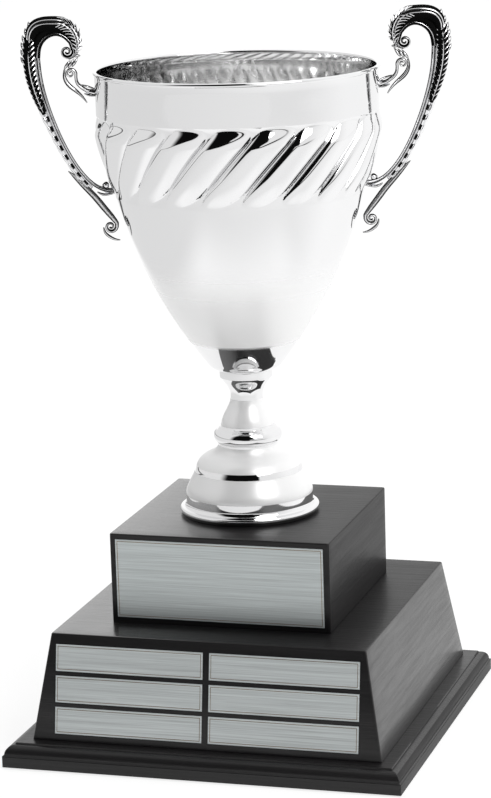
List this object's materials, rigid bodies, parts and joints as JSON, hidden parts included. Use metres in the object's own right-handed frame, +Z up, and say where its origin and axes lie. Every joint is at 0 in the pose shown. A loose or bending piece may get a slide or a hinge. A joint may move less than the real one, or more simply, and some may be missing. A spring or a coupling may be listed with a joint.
{
  "type": "cup trophy",
  "caption": "Tall fluted silver cup with two scroll handles and a turned stem, on a black two-tier square base with blank engraving plates.",
  "frame": {"origin": "centre of the underside of the felt pad", "axes": "+Z up along the cup's axis; -Y is the front of the base, where the plates are; +X is the base's right"},
  "size_m": [0.305, 0.305, 0.5472],
  "materials": {
    "felt": "short dense felt",
    "black_wood": "black stained and satin lacquered, fine open grain",
    "bare_wood": "bare softwood",
    "brushed_plate": "brushed lengthways, dark gold border line",
    "silver": "bright silver plate, mirror polish",
    "antique_silver": "silver plate with blackened hollows",
    "black_plastic": "moulded, glossy",
    "zinc_steel": "zinc plated",
    "rubber": "matte"
  },
  "bodies": {
    "root": {"felt_pad": "felt", "bottom_board": "black_wood", "lower_front_panel": "black_wood", "lower_right_panel": "black_wood", "lower_back_panel": "black_wood", "lower_left_panel": "black_wood", "lower_deck": "black_wood", "upper_front_panel": "black_wood", "upper_right_panel": "black_wood", "upper_back_panel": "black_wood", "upper_left_panel": "black_wood", "upper_top_panel": "black_wood", "lower_corner_blocks": "bare_wood", "upper_corner_blocks": "bare_wood", "main_plate": "brushed_plate", "small_plate_1": "brushed_plate", "small_plate_2": "brushed_plate", "small_plate_3": "brushed_plate", "small_plate_4": "brushed_plate", "small_plate_5": "brushed_plate", "small_plate_6": "brushed_plate", "foot_bell": "silver", "knop_ring": "silver", "stem": "silver", "bowl_seat": "silver", "cup_bowl": "silver", "handle_left": "antique_silver", "handle_right": "antique_silver", "foot_pad": "black_plastic", "board_screws": "zinc_steel", "tier_screws": "zinc_steel", "handle_screws": "zinc_steel", "handle_washers": "zinc_steel", "threaded_rod": "zinc_steel", "bowl_washer": "zinc_steel", "bowl_nut": "zinc_steel", "base_washer": "zinc_steel", "base_nut": "zinc_steel", "bowl_gasket": "rubber"}
  },
  "joints": []
}
